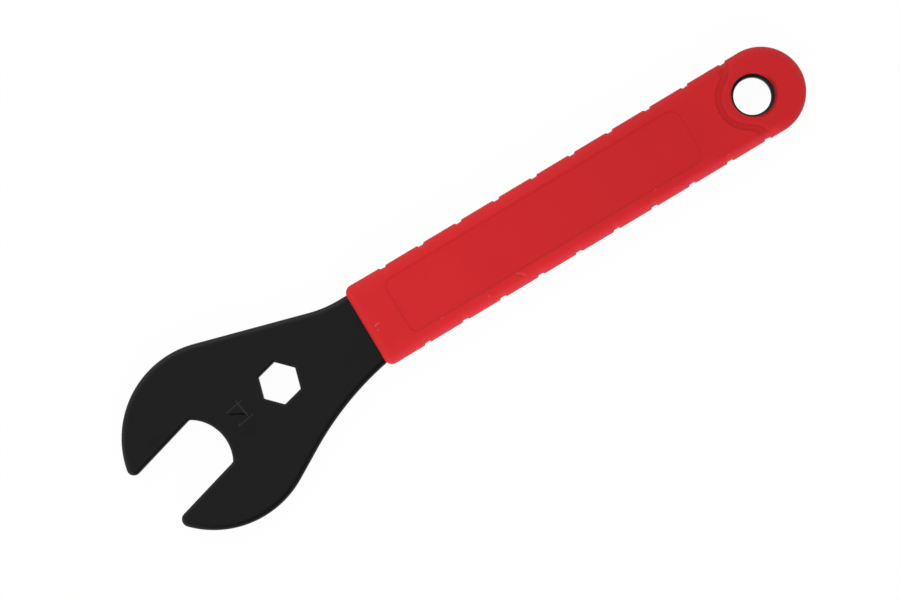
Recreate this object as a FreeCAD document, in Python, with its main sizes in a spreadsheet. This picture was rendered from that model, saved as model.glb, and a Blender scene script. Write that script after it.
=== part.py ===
import FreeCAD, Part
import math
import os

import Sketcher

# Cone wrench: a flat stamped blade with an open jaw, and a grip moulded round its shank.
# Frame: origin in the middle of the hang hole and of the blade's thickness, +X from the jaw
# to the hang hole along the handle, +Z out of the broad face. Millimetres and degrees.

SIZES = (
    ("jaw_size", 14.0, "width across the flats of the cone that the jaw fits"),
    ("jaw_play", 0.15, "what the jaw opens wider than the cone"),
    ("jaw_angle", 15.75, "jaw axis to handle axis"),
    ("jaw_stand", 51.85, "jaw centre to the mouth of the grip, along the handle"),
    ("jaw_drop", 6.0, "jaw centre below the handle axis"),
    ("throat_radius", 10.3, "round back of the jaw, about the jaw centre"),
    ("throat_corner_radius", 1.0, "where a flat runs into the back of the jaw"),
    ("upper_tip_radius", 1.7, "end of the upper jaw"),
    ("lower_tip_radius", 1.75, "end of the lower jaw"),
    ("head_back", 9.0, "head centres behind the jaw centre"),
    ("upper_head_rise", 1.88, "centre of the upper head arc above the jaw centre"),
    ("upper_head_radius", 22.74, "upper outline of the head"),
    ("lower_head_rise", 3.7, "centre of the lower head arc above the jaw centre"),
    ("lower_head_radius", 23.2, "lower outline of the head"),
    ("upper_neck_angle", 15.9, "straight upper side of the neck to the handle axis"),
    ("upper_neck_radius", 27.5, "upper side of the neck into the shank"),
    ("lower_neck_angle", 30.14, "straight lower side of the neck to the handle axis"),
    ("lower_neck_radius", 75.0, "lower side of the neck into the shank"),
    ("upper_shank_side", 9.05, "handle axis to the upper side of the shank"),
    ("lower_shank_side", 8.2, "handle axis to the lower side of the shank"),
    ("shank_end_wall", 2.95, "grip beyond the end of the shank"),
    ("shank_corner_cut", 5.0, "cut corners at the end of the shank"),
    ("blade_thickness", 2.4, "thickness of the steel"),
    ("blade_edge_radius", 0.9, "rounding along the outline of the blade"),
    ("blade_land", 0.2, "least upright strip left between the rounded edges of the blade"),
    ("hex_size", 9.0, "width across the flats of the hexagon hole"),
    ("hex_angle", 14.0, "first corner of the hexagon to the handle axis"),
    ("hex_corner_radius", 0.4, "corners of the hexagon hole"),
    ("hex_back", 27.85, "hexagon centre behind the jaw centre"),
    ("hex_rise", 5.4, "hexagon centre above the jaw centre"),
    ("hole_diameter", 9.0, "hang hole in the steel"),
    ("bore_chamfer", 0.25, "broken edges of the hexagon and the hang hole"),
    ("grip_reach", 105.65, "mouth of the grip to the hang hole"),
    ("grip_width", 21.0, "width of the grip"),
    ("grip_thickness", 5.6, "thickness of the grip"),
    ("seam_land", 0.6, "upright strip left between the rounded sides of the grip"),
    ("mouth_radius", 2.0, "rounding of the grip's mouth end"),
    ("end_offset", 2.45, "centre of the round end beyond the hang hole"),
    ("grip_hole_diameter", 10.4, "hang hole in the grip"),
    ("notch_count", 10, "notches along each side of the grip"),
    ("notch_pitch", 10.33, "one notch to the next"),
    ("notch_to_hole", 2.08, "last notch before the hang hole"),
    ("notch_depth", 0.35, "depth of a notch at the seam"),
    ("notch_floor", 1.2, "width of a notch at its floor"),
    ("notch_mouth", 2.0, "width of a notch at the side of the grip"),
    ("notch_runout", 0.1, "how far the notch floor passes over the broad face"),
    ("band_radius", 7.2, "inner edge of the curved band round the hang hole"),
    ("band_width", 1.4, "width of the curved band"),
    ("band_flare", 4.4, "curve that leads the band out to the last notches"),
    ("band_depth", 0.25, "depth of the curved band"),
    ("panel_margin", 8.6, "mouth of the grip to the sunk panel"),
    ("panel_length", 80.2, "length of the sunk panel"),
    ("panel_width", 14.2, "width of the sunk panel"),
    ("panel_near_radius", 2.1, "panel corners at the mouth end"),
    ("panel_far_radius", 3.0, "panel corners at the hang hole end"),
    ("panel_depth", 0.2, "depth of the sunk panel"),
)

UP = FreeCAD.Vector(0, 0, 1)
HALF_TURN = 180
SQUARELY = 0.9  # cosine, for a face that looks along an axis
NEAR = 0.01  # millimetres, for two places that are the same
STEP_FOLDER = "parts"

doc = FreeCAD.newDocument("ConeWrench")


class Spot:
    """Which point of a drawn line, arc or circle."""

    START, END, CENTRE = range(1, 4)


class Datum:
    """What every sketch has before anything is drawn."""

    X_AXIS, Y_AXIS = -1, -2
    ORIGIN = (X_AXIS, Spot.START)


def make_sheet():
    """Write the driving dimensions into the sheet, one row each."""
    page = doc.addObject("Spreadsheet::Sheet", "Sizes")
    for row, (name, value, note) in enumerate(SIZES, start=1):
        page.set(f"A{row}", name)
        page.set(f"B{row}", str(value))
        page.set(f"C{row}", note)
        page.setAlias(f"B{row}", name)
    doc.recompute()
    return page


sheet = make_sheet()


def size(name):
    """A driving dimension, as a plain number."""
    return float(sheet.get(name))


def along(angle, length=1.0):
    """A vector in the broad plane, at an angle in degrees to the handle axis."""
    turn = math.radians(angle)
    return FreeCAD.Vector(math.cos(turn), math.sin(turn), 0) * length


class Outline:
    """A sketch of one body, drawn at its size and held there by the sheet."""

    def __init__(self, body, name, height=None):
        self.sketch = body.newObject("Sketcher::SketchObject", name)
        plane = next(item for item in body.Origin.OriginFeatures if item.Role == "XY_Plane")
        self.sketch.AttachmentSupport = [(plane, "")]
        self.sketch.MapMode = "FlatFace"
        if height:
            self.sketch.setExpression("AttachmentOffset.Base.z", height)

    def line(self, start, end, guide=False):
        return self.sketch.addGeometry(Part.LineSegment(start, end), guide), Spot.START, Spot.END

    def arc(self, centre, start, end, clockwise=False):
        """An arc from start to end, anticlockwise unless it is told otherwise."""
        first, last = (end, start) if clockwise else (start, end)
        spoke, other = first - centre, last - centre
        low = math.atan2(spoke.y, spoke.x)
        high = math.atan2(other.y, other.x)
        if high <= low:
            high += 2 * math.pi
        circle = Part.Circle(centre, UP, spoke.Length)
        index = self.sketch.addGeometry(Part.ArcOfCircle(circle, low, high))
        return (index, Spot.END, Spot.START) if clockwise else (index, Spot.START, Spot.END)

    def circle(self, centre, radius, guide=False):
        return self.sketch.addGeometry(Part.Circle(centre, UP, radius), guide)

    def hold(self, *terms):
        return self.sketch.addConstraint(Sketcher.Constraint(*terms))

    def tie(self, name, expression, *terms):
        """Hold a dimension and let the sheet drive it."""
        index = self.hold(*terms)
        self.sketch.renameConstraint(index, name)
        self.sketch.setExpression(f"Constraints.{name}", expression)

    def join(self, pieces, corners=()):
        """Join pieces end to start round a loop, smoothly but for the named corners."""
        for number, piece in enumerate(pieces):
            follower = pieces[(number + 1) % len(pieces)]
            bond = "Coincident" if number in corners else "Tangent"
            self.hold(bond, piece[0], piece[2], follower[0], follower[1])

    def place(self, name, piece, point, across, up):
        """Drive a point's distance from the origin of the sketch, in X and in Y."""
        for axis, expression in (("DistanceX", across), ("DistanceY", up)):
            if expression == "0":
                line = Datum.X_AXIS if axis == "DistanceY" else Datum.Y_AXIS
                self.hold("PointOnObject", piece, point, line)
            else:
                start = self.reading(axis, piece, point)
                terms = (*Datum.ORIGIN, piece, point, start)
                self.tie(f"{name}_{axis[-1].lower()}", expression, axis, *terms)

    def reading(self, axis, piece, point):
        spot = self.sketch.getPoint(piece, point)
        return spot.x if axis == "DistanceX" else spot.y

    def radius(self, name, piece, expression):
        start = self.sketch.Geometry[piece].Radius
        self.tie(name, expression, "Radius", piece, start)


def names(shape, kind, wanted):
    """Names of the faces or edges of a shape that meet a condition."""
    items = getattr(shape, kind + "s")
    return [f"{kind}{number}" for number, item in enumerate(items, start=1) if wanted(item)]


def pad_through(body, sketch, name, thickness):
    """Thicken a sketch to both sides of its plane."""
    pad = body.newObject("PartDesign::Pad", name)
    pad.Profile = sketch
    pad.SideType = "Symmetric"
    pad.setExpression("Length", thickness)
    doc.recompute()
    return pad


def cut_through(body, sketch, name):
    """Cut a sketch right through the body, to both sides of its plane."""
    before = body.Shape.Volume
    pocket = body.newObject("PartDesign::Pocket", name)
    pocket.Profile = sketch
    pocket.SideType = "Symmetric"
    pocket.Type = "ThroughAll"
    doc.recompute()
    if pocket.Shape.Volume >= before:
        raise RuntimeError(f"{name} cut nothing")
    return pocket


def cut_down(body, sketch, name, depth):
    """Cut a sketch into the body below it, to a depth."""
    before = body.Shape.Volume
    pocket = body.newObject("PartDesign::Pocket", name)
    pocket.Profile = sketch
    pocket.setExpression("Length", depth)
    doc.recompute()
    if pocket.Shape.Volume >= before:
        raise RuntimeError(f"{name} cut nothing")
    return pocket


def dress(body, kind, name, base, edges, amount, expression):
    """Round or chamfer named edges or faces of a feature."""
    feature = body.newObject(f"PartDesign::{kind}", name)
    feature.Base = (base, edges)
    feature.setExpression(amount, expression)
    doc.recompute()
    return feature


def draw_blade(body):
    """Outline of the blade: head, jaw, neck and shank, every join smooth."""
    jaw = FreeCAD.Vector(-size("grip_reach") - size("jaw_stand"), -size("jaw_drop"), 0)
    half_gap = (size("jaw_size") + size("jaw_play")) / 2
    inward = along(size("jaw_angle"))
    upward = along(size("jaw_angle") + 90)
    shank_end = size("end_offset") + size("grip_width") / 2 - size("shank_end_wall")
    cut = size("shank_corner_cut")

    def head(side):
        """Centre and radius of one head arc."""
        rise = FreeCAD.Vector(size("head_back"), size(f"{side}_head_rise"), 0)
        return jaw + rise, size(f"{side}_head_radius")

    def tip(side, sign):
        """Where one jaw's end leaves its flat, its centre, and where it meets the head."""
        centre, radius = head(side)
        round_end = size(f"{side}_tip_radius")
        level = jaw + upward * (sign * (half_gap + round_end))
        gap = level - centre
        reach = gap.dot(inward)
        run = -reach - math.sqrt(reach ** 2 - gap.Length ** 2 + (radius - round_end) ** 2)
        middle = level + inward * run
        spoke = (middle - centre).normalize()
        return middle - upward * (sign * round_end), middle, centre + spoke * radius

    def throat(sign):
        """Where one throat corner leaves its flat, its centre, and where it meets the back."""
        small, large = size("throat_corner_radius"), size("throat_radius")
        run = math.sqrt((large - small) ** 2 - (half_gap - small) ** 2)
        middle = jaw + upward * (sign * (half_gap - small)) + inward * run
        spoke = (middle - jaw).normalize()
        return middle + upward * (sign * small), middle, jaw + spoke * large

    def neck(side, sign):
        """Where one side of the neck leaves the head, where it starts to curve, and the curve."""
        centre, radius = head(side)
        slope, bend = size(f"{side}_neck_angle"), size(f"{side}_neck_radius")
        outward = along(sign * (90 - slope))
        shank_side = size(f"{side}_shank_side")
        level = sign * (shank_side + bend)
        reach = outward.dot(centre) + radius + bend
        middle = FreeCAD.Vector((reach - outward.y * level) / outward.x, level, 0)
        foot = FreeCAD.Vector(middle.x, sign * shank_side, 0)
        return centre + outward * radius, middle - outward * bend, middle, foot

    upper_tip, lower_tip = tip("upper", 1), tip("lower", -1)
    upper_throat, lower_throat = throat(1), throat(-1)
    upper_neck, lower_neck = neck("upper", 1), neck("lower", -1)
    far_top = FreeCAD.Vector(shank_end - cut, size("upper_shank_side"), 0)
    far_bottom = FreeCAD.Vector(shank_end - cut, -size("lower_shank_side"), 0)
    end_top = FreeCAD.Vector(shank_end, size("upper_shank_side") - cut, 0)
    end_bottom = FreeCAD.Vector(shank_end, cut - size("lower_shank_side"), 0)
    upper_head, lower_head = head("upper")[0], head("lower")[0]

    outline = Outline(body, "blade_outline")
    top_side = outline.line(far_top, upper_neck[3])
    top_bend = outline.arc(upper_neck[2], upper_neck[3], upper_neck[1], clockwise=True)
    top_slope = outline.line(upper_neck[1], upper_neck[0])
    top_head = outline.arc(upper_head, upper_neck[0], upper_tip[2])
    top_tip = outline.arc(upper_tip[1], upper_tip[2], upper_tip[0])
    top_flat = outline.line(upper_tip[0], upper_throat[0])
    top_corner = outline.arc(upper_throat[1], upper_throat[0], upper_throat[2], clockwise=True)
    back = outline.arc(jaw, upper_throat[2], lower_throat[2], clockwise=True)
    low_corner = outline.arc(lower_throat[1], lower_throat[2], lower_throat[0], clockwise=True)
    low_flat = outline.line(lower_throat[0], lower_tip[0])
    low_tip = outline.arc(lower_tip[1], lower_tip[0], lower_tip[2])
    low_head = outline.arc(lower_head, lower_tip[2], lower_neck[0])
    low_slope = outline.line(lower_neck[0], lower_neck[1])
    low_bend = outline.arc(lower_neck[2], lower_neck[1], lower_neck[3], clockwise=True)
    low_side = outline.line(lower_neck[3], far_bottom)
    low_cut = outline.line(far_bottom, end_bottom)
    far_end = outline.line(end_bottom, end_top)
    top_cut = outline.line(end_top, far_top)
    outline.join((top_side, top_bend, top_slope, top_head, top_tip, top_flat, top_corner, back,
                  low_corner, low_flat, low_tip, low_head, low_slope, low_bend, low_side,
                  low_cut, far_end, top_cut), corners=(14, 15, 16, 17))

    jaw_x = "-Sizes.grip_reach - Sizes.jaw_stand"
    end_x = "Sizes.end_offset + Sizes.grip_width / 2 - Sizes.shank_end_wall"
    cut_x = end_x + " - Sizes.shank_corner_cut"
    outline.place("upper_cut", top_side[0], Spot.START, cut_x, "Sizes.upper_shank_side")
    outline.place("upper_end", far_end[0], Spot.END, end_x,
                  "Sizes.upper_shank_side - Sizes.shank_corner_cut")
    outline.place("lower_cut", low_side[0], Spot.END, cut_x, "-Sizes.lower_shank_side")
    outline.place("lower_end", far_end[0], Spot.START, end_x,
                  "Sizes.shank_corner_cut - Sizes.lower_shank_side")
    outline.place("jaw", back[0], Spot.CENTRE, jaw_x, "-Sizes.jaw_drop")
    for side, piece in (("upper", top_head), ("lower", low_head)):
        rise = f"Sizes.{side}_head_rise - Sizes.jaw_drop"
        outline.place(f"{side}_head", piece[0], Spot.CENTRE, f"{jaw_x} + Sizes.head_back", rise)
        outline.radius(f"{side}_head_radius", piece[0], f"Sizes.{side}_head_radius")
    for side, bend, ending in (("upper", top_bend, top_tip), ("lower", low_bend, low_tip)):
        outline.radius(f"{side}_neck_radius", bend[0], f"Sizes.{side}_neck_radius")
        outline.radius(f"{side}_tip_radius", ending[0], f"Sizes.{side}_tip_radius")
    for side, piece in (("upper", top_corner), ("lower", low_corner)):
        outline.radius(f"{side}_corner_radius", piece[0], "Sizes.throat_corner_radius")
    outline.radius("throat_radius", back[0], "Sizes.throat_radius")
    outline.hold("Horizontal", top_side[0])
    outline.hold("Horizontal", low_side[0])
    return outline, top_slope, low_slope, top_flat, low_flat, back


def hold_blade_slopes(outline, top_slope, low_slope, top_flat, low_flat, back):
    """Drive the slopes of the neck and of the jaw, and the jaw's opening."""
    turns = (
        ("upper_neck_angle", top_slope, "180 deg - Sizes.upper_neck_angle * 1 deg"),
        ("lower_neck_angle", low_slope, "Sizes.lower_neck_angle * 1 deg"),
        ("upper_jaw_angle", top_flat, "Sizes.jaw_angle * 1 deg"),
        ("lower_jaw_angle", low_flat, "Sizes.jaw_angle * 1 deg - 180 deg"),
    )
    for name, piece, expression in turns:
        line = outline.sketch.Geometry[piece[0]]
        way = line.EndPoint - line.StartPoint
        outline.tie(name, expression, "Angle", piece[0], math.atan2(way.y, way.x))
    half_gap = (size("jaw_size") + size("jaw_play")) / 2
    for name, piece in (("upper_opening", top_flat), ("lower_opening", low_flat)):
        expression = "(Sizes.jaw_size + Sizes.jaw_play) / 2"
        outline.tie(name, expression, "Distance", back[0], Spot.CENTRE, piece[0], half_gap)


def hexagon_middle():
    """Centre of the hexagon hole, behind the jaw."""
    return FreeCAD.Vector(size("hex_back") - size("jaw_stand") - size("grip_reach"),
                          size("hex_rise") - size("jaw_drop"), 0)


def draw_hexagon(body):
    """The hexagon hole, with its corners on a guide circle."""
    middle = hexagon_middle()
    circle_radius = size("hex_size") / math.sqrt(3)
    corners = [middle + along(size("hex_angle") + 60 * turn, circle_radius) for turn in range(6)]
    outline = Outline(body, "hexagon_outline")
    guide = outline.circle(middle, circle_radius, guide=True)
    sides = [outline.line(corners[turn], corners[(turn + 1) % 6]) for turn in range(6)]
    outline.join(sides, corners=range(6))
    for side in sides:
        outline.hold("PointOnObject", side[0], Spot.START, guide)
    for side in sides[1:]:
        outline.hold("Equal", sides[0][0], side[0])
    across = "Sizes.hex_back - Sizes.jaw_stand - Sizes.grip_reach"
    outline.place("hexagon", guide, Spot.CENTRE, across, "Sizes.hex_rise - Sizes.jaw_drop")
    outline.radius("corner_circle", guide, "Sizes.hex_size / sqrt(3)")
    first_way = corners[1] - corners[0]
    outline.tie("hexagon_angle", "Sizes.hex_angle * 1 deg + 120 deg", "Angle", sides[0][0],
                math.atan2(first_way.y, first_way.x))
    return outline.sketch


def draw_round_hole(body, name, diameter):
    """A round hole about the origin."""
    outline = Outline(body, name)
    ring = outline.circle(FreeCAD.Vector(), size(diameter) / 2)
    outline.place("centre", ring, Spot.CENTRE, "0", "0")
    outline.radius("hole_radius", ring, f"Sizes.{diameter} / 2")
    return outline.sketch


def make_blade():
    """The steel: outline, rounded edges, hexagon and hang hole."""
    body = doc.addObject("PartDesign::Body", "blade")
    body.Label = "blade"
    pieces = draw_blade(body)
    hold_blade_slopes(*pieces)
    plate = pad_through(body, pieces[0].sketch, "plate", "Sizes.blade_thickness")
    broad = names(plate.Shape, "Face", lambda face: abs(face.normalAt(0, 0).z) > SQUARELY)
    dress(body, "Fillet", "rounded_outline", plate, broad, "Radius",
          "min(Sizes.blade_edge_radius; (Sizes.blade_thickness - Sizes.blade_land) / 2)")
    hexagon = cut_through(body, draw_hexagon(body), "hexagon_hole")

    def within(edge, centre, reach):
        """True if an edge lies within reach of an axis that stands on the broad face."""
        spot = edge.CenterOfMass
        return math.hypot(spot.x - centre.x, spot.y - centre.y) < reach

    def hexagon_corner(edge):
        upright = abs(edge.CenterOfMass.z) < NEAR
        return upright and within(edge, hexagon_middle(), size("hex_size"))

    dress(body, "Fillet", "hexagon_corners", hexagon,
          names(hexagon.Shape, "Edge", hexagon_corner), "Radius", "Sizes.hex_corner_radius")
    hang_hole = cut_through(body, draw_round_hole(body, "hang_hole_outline", "hole_diameter"),
                            "hang_hole")

    def bore_rim(edge):
        on_face = abs(abs(edge.CenterOfMass.z) - size("blade_thickness") / 2) < NEAR
        in_hexagon = within(edge, hexagon_middle(), size("hex_size"))
        in_hole = within(edge, FreeCAD.Vector(), size("hole_diameter") / 2)
        return on_face and (in_hexagon or in_hole)

    dress(body, "Chamfer", "bore_rims", hang_hole, names(hang_hole.Shape, "Edge", bore_rim),
          "Size", "Sizes.bore_chamfer")
    return body


def draw_grip(body):
    """Outline of the grip: square at its mouth, round at the hang hole."""
    half = size("grip_width") / 2
    mouth = -size("grip_reach")
    end = FreeCAD.Vector(size("end_offset"), 0, 0)
    rise = FreeCAD.Vector(0, half, 0)
    outline = Outline(body, "grip_outline")
    top = outline.line(end + rise, FreeCAD.Vector(mouth, half, 0))
    front = outline.line(FreeCAD.Vector(mouth, half, 0), FreeCAD.Vector(mouth, -half, 0))
    bottom = outline.line(FreeCAD.Vector(mouth, -half, 0), end - rise)
    round_end = outline.arc(end, end - rise, end + rise)
    outline.join((top, front, bottom, round_end), corners=(0, 1))
    outline.hold("Horizontal", top[0])
    outline.hold("Horizontal", bottom[0])
    outline.hold("Vertical", front[0])
    outline.place("end", round_end[0], Spot.CENTRE, "Sizes.end_offset", "0")
    outline.radius("end_radius", round_end[0], "Sizes.grip_width / 2")
    outline.tie("mouth", "-Sizes.grip_reach", "DistanceX", *Datum.ORIGIN, front[0], Spot.START,
                mouth)
    return outline.sketch


def draw_notch(body, side):
    """Section of the last notch on one side, with the line that it turns about."""
    sign = 1 if side == "upper" else -1
    half = size("grip_width") / 2
    depth, floor, mouth = size("notch_depth"), size("notch_floor"), size("notch_mouth")
    middle = -size("notch_to_hole")
    turn_radius = size("grip_thickness") / 2 + size("notch_runout")
    low = sign * (half - depth)
    high = sign * (half + depth)
    centre_line = sign * (half - depth - turn_radius)
    wide = mouth - floor / 2
    spots = [FreeCAD.Vector(middle - floor / 2, low, 0), FreeCAD.Vector(middle + floor / 2, low, 0),
             FreeCAD.Vector(middle + wide, high, 0), FreeCAD.Vector(middle - wide, high, 0)]
    outline = Outline(body, f"{side}_notch_section")
    axle = outline.line(FreeCAD.Vector(middle - wide, centre_line, 0),
                        FreeCAD.Vector(middle + wide, centre_line, 0), guide=True)
    sides = [outline.line(spots[turn], spots[(turn + 1) % 4]) for turn in range(4)]
    outline.join(sides, corners=range(4))
    for piece in (sides[0], sides[2], axle):
        outline.hold("Horizontal", piece[0])
    left, right = "-Sizes.notch_to_hole - ", "-Sizes.notch_to_hole + "
    minus = "" if sign > 0 else "-"
    low_text = f"{minus}(Sizes.grip_width / 2 - Sizes.notch_depth)"
    high_text = f"{minus}(Sizes.grip_width / 2 + Sizes.notch_depth)"
    wide_text = "(Sizes.notch_mouth - Sizes.notch_floor / 2)"
    outline.place("floor", sides[0][0], Spot.START, left + "Sizes.notch_floor / 2", low_text)
    outline.place("mouth", sides[2][0], Spot.START, right + wide_text, high_text)
    outline.tie("floor_end", right + "Sizes.notch_floor / 2", "DistanceX", *Datum.ORIGIN,
                sides[0][0], Spot.END, middle + floor / 2)
    outline.tie("mouth_end", left + wide_text, "DistanceX", *Datum.ORIGIN,
                sides[2][0], Spot.END, middle - wide)
    axle_text = (f"{minus}(Sizes.grip_width / 2 - Sizes.notch_depth - Sizes.grip_thickness / 2"
                 " - Sizes.notch_runout)")
    outline.place("axle", axle[0], Spot.START, left + wide_text, axle_text)
    outline.tie("axle_end", right + wide_text, "DistanceX", *Datum.ORIGIN, axle[0], Spot.END,
                middle + wide)
    return outline.sketch


def cut_notch(body, side):
    """Cut the last notch on one side, round the side from one broad face to the other."""
    before = body.Shape.Volume
    groove = body.newObject("PartDesign::Groove", f"{side}_notch")
    section = draw_notch(body, side)
    groove.Profile = section
    groove.ReferenceAxis = (section, ["Axis0"])
    groove.Midplane = True
    groove.Angle = HALF_TURN
    doc.recompute()
    if groove.Shape.Volume >= before:
        raise RuntimeError(f"{side} notch cut nothing")
    return groove


def draw_panel(body):
    """The sunk panel: a rectangle with its own corner radius at each end."""
    left = size("panel_margin") - size("grip_reach")
    right = left + size("panel_length")
    half = size("panel_width") / 2
    near, far = size("panel_near_radius"), size("panel_far_radius")
    outline = Outline(body, "panel_outline", "Sizes.grip_thickness / 2")

    def corner(x_edge, radius, x_sign, y_sign):
        """Centre of one corner, where it meets the long side, and where it meets the end."""
        middle = FreeCAD.Vector(x_edge - x_sign * radius, y_sign * (half - radius), 0)
        return (middle, middle + FreeCAD.Vector(0, y_sign * radius, 0),
                middle + FreeCAD.Vector(x_sign * radius, 0, 0))

    far_top, near_top = corner(right, far, 1, 1), corner(left, near, -1, 1)
    near_low, far_low = corner(left, near, -1, -1), corner(right, far, 1, -1)
    pieces = [
        outline.line(far_top[1], near_top[1]),
        outline.arc(near_top[0], near_top[1], near_top[2]),
        outline.line(near_top[2], near_low[2]),
        outline.arc(near_low[0], near_low[2], near_low[1]),
        outline.line(near_low[1], far_low[1]),
        outline.arc(far_low[0], far_low[1], far_low[2]),
        outline.line(far_low[2], far_top[2]),
        outline.arc(far_top[0], far_top[2], far_top[1]),
    ]
    outline.join(pieces)
    top, near_up, front, near_down, low, far_down, rear, far_up = (item[0] for item in pieces)
    for side in (top, low):
        outline.hold("Horizontal", side)
    for side in (front, rear):
        outline.hold("Vertical", side)
    left_text = "Sizes.panel_margin - Sizes.grip_reach"
    for name, arc, expression in (("near_up", near_up, "Sizes.panel_near_radius"),
                                  ("near_down", near_down, "Sizes.panel_near_radius"),
                                  ("far_down", far_down, "Sizes.panel_far_radius"),
                                  ("far_up", far_up, "Sizes.panel_far_radius")):
        outline.radius(name, arc, expression)
    outline.place("front_top", front, Spot.START, left_text,
                  "Sizes.panel_width / 2 - Sizes.panel_near_radius")
    outline.tie("low_side", "-Sizes.panel_width / 2", "DistanceY", *Datum.ORIGIN, low,
                Spot.START, -half)
    outline.tie("rear", left_text + " + Sizes.panel_length", "DistanceX", *Datum.ORIGIN,
                rear, Spot.START, right)
    return outline.sketch


def draw_band(body):
    """The curved band: round the hang hole, then out to the last notch on each side."""
    inner, outer = size("band_radius"), size("band_radius") + size("band_width")
    flare = size("band_flare")
    half = size("grip_width") / 2
    notch, half_mouth = -size("notch_to_hole"), size("notch_mouth") / 2
    hole = FreeCAD.Vector()

    def lead_out(radius, x_end):
        """Centre of one flare above the hole, and where it leaves the ring."""
        far = FreeCAD.Vector(x_end, half, 0)
        reach = radius + flare
        opening = (reach ** 2 + far.Length ** 2 - flare ** 2) / (2 * reach * far.Length)
        turn = math.atan2(far.y, far.x) + math.acos(opening)
        spoke = FreeCAD.Vector(math.cos(turn), math.sin(turn), 0)
        return spoke * reach, spoke * radius, far

    def below(spot):
        return FreeCAD.Vector(spot.x, -spot.y, 0)

    outer_flare, outer_leave, outer_far = lead_out(outer, notch - half_mouth)
    inner_flare, inner_leave, inner_far = lead_out(inner, notch + half_mouth)
    outline = Outline(body, "band_outline", "Sizes.grip_thickness / 2")
    pieces = [
        outline.arc(outer_flare, outer_far, outer_leave, clockwise=True),
        outline.arc(hole, outer_leave, below(outer_leave)),
        outline.arc(below(outer_flare), below(outer_leave), below(outer_far), clockwise=True),
        outline.line(below(outer_far), below(inner_far)),
        outline.arc(below(inner_flare), below(inner_far), below(inner_leave)),
        outline.arc(hole, below(inner_leave), inner_leave, clockwise=True),
        outline.arc(inner_flare, inner_leave, inner_far),
        outline.line(inner_far, outer_far),
    ]
    outline.join(pieces, corners=(2, 3, 6, 7))
    for ring, radius in ((pieces[1], "Sizes.band_radius + Sizes.band_width"),
                         (pieces[5], "Sizes.band_radius")):
        outline.place(f"ring_{ring[0]}", ring[0], Spot.CENTRE, "0", "0")
        outline.radius(f"ring_radius_{ring[0]}", ring[0], radius)
    for piece in (pieces[0], pieces[2], pieces[4], pieces[6]):
        outline.radius(f"flare_radius_{piece[0]}", piece[0], "Sizes.band_flare")
    mouth = {"left": "-Sizes.notch_to_hole - Sizes.notch_mouth / 2",
             "right": "-Sizes.notch_to_hole + Sizes.notch_mouth / 2"}
    outline.place("low_left", pieces[3][0], Spot.START, mouth["left"], "-Sizes.grip_width / 2")
    outline.place("low_right", pieces[3][0], Spot.END, mouth["right"], "-Sizes.grip_width / 2")
    outline.place("top_right", pieces[7][0], Spot.START, mouth["right"], "Sizes.grip_width / 2")
    outline.place("top_left", pieces[7][0], Spot.END, mouth["left"], "Sizes.grip_width / 2")
    return outline.sketch


def make_grip_blank():
    """The grip before the shank's room is taken out of it."""
    body = doc.addObject("PartDesign::Body", "grip_blank")
    block = pad_through(body, draw_grip(body), "block", "Sizes.grip_thickness")

    def on_side(edge):
        spot = edge.CenterOfMass
        on_face = abs(spot.z) > size("seam_land")
        return on_face and spot.x > size("panel_margin") - size("grip_reach")

    sides = dress(body, "Fillet", "rounded_sides", block, names(block.Shape, "Edge", on_side),
                  "Radius", "(Sizes.grip_thickness - Sizes.seam_land) / 2")
    front = names(sides.Shape, "Face", lambda face: face.normalAt(0, 0).x < -SQUARELY)
    dress(body, "Fillet", "rounded_mouth", sides, front, "Radius",
          "min(Sizes.mouth_radius; (Sizes.grip_thickness - Sizes.seam_land) / 2)")
    cut_through(body, draw_round_hole(body, "grip_hole_outline", "grip_hole_diameter"),
                "grip_hole")

    last_notches = [cut_notch(body, side) for side in ("upper", "lower")]
    row = body.newObject("PartDesign::LinearPattern", "notch_row")
    row.Originals = last_notches
    x_axis = next(item for item in body.Origin.OriginFeatures if item.Role == "X_Axis")
    row.Direction = (x_axis, [""])
    row.Reversed = True
    row.setExpression("Length", "Sizes.notch_pitch * (Sizes.notch_count - 1)")
    row.setExpression("Occurrences", "Sizes.notch_count")
    body.Tip = row
    doc.recompute()

    panel = cut_down(body, draw_panel(body), "panel", "Sizes.panel_depth")
    band = cut_down(body, draw_band(body), "band", "Sizes.band_depth")
    back = body.newObject("PartDesign::Mirrored", "same_on_back")
    back.Originals = [panel, band]
    xy_plane = next(item for item in body.Origin.OriginFeatures if item.Role == "XY_Plane")
    back.MirrorPlane = (xy_plane, [""])
    body.Tip = back
    doc.recompute()
    return body


def make_grip(blank, blade):
    """The grip as it is moulded, with the steel's own shape left out of it."""
    grip = doc.addObject("Part::Cut", "grip")
    grip.Label = "grip"
    grip.Base = blank
    grip.Tool = blade
    doc.recompute()
    return grip


def check(parts):
    """Stop before anything is written if an object has failed."""
    for item in doc.Objects:
        if {"Invalid", "Error"} & set(item.State):
            raise RuntimeError(f"{item.Label} did not build: {item.State}")
    for item in parts:
        if item.Shape.isNull() or not item.Shape.isValid():
            raise RuntimeError(f"{item.Label} has no valid shape")


def main():
    blade = make_blade()
    grip = make_grip(make_grip_blank(), blade)
    parts = (blade, grip)
    check(parts)
    os.makedirs(STEP_FOLDER, exist_ok=True)
    for item in parts:
        item.Shape.exportStep(f"{STEP_FOLDER}/{item.Label}.step")
        print(item.Label, round(item.Shape.Volume, 2), "mm3", item.Shape.BoundBox)


main()
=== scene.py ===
import math

import bpy
from mathutils import Matrix, Vector, geometry


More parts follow.
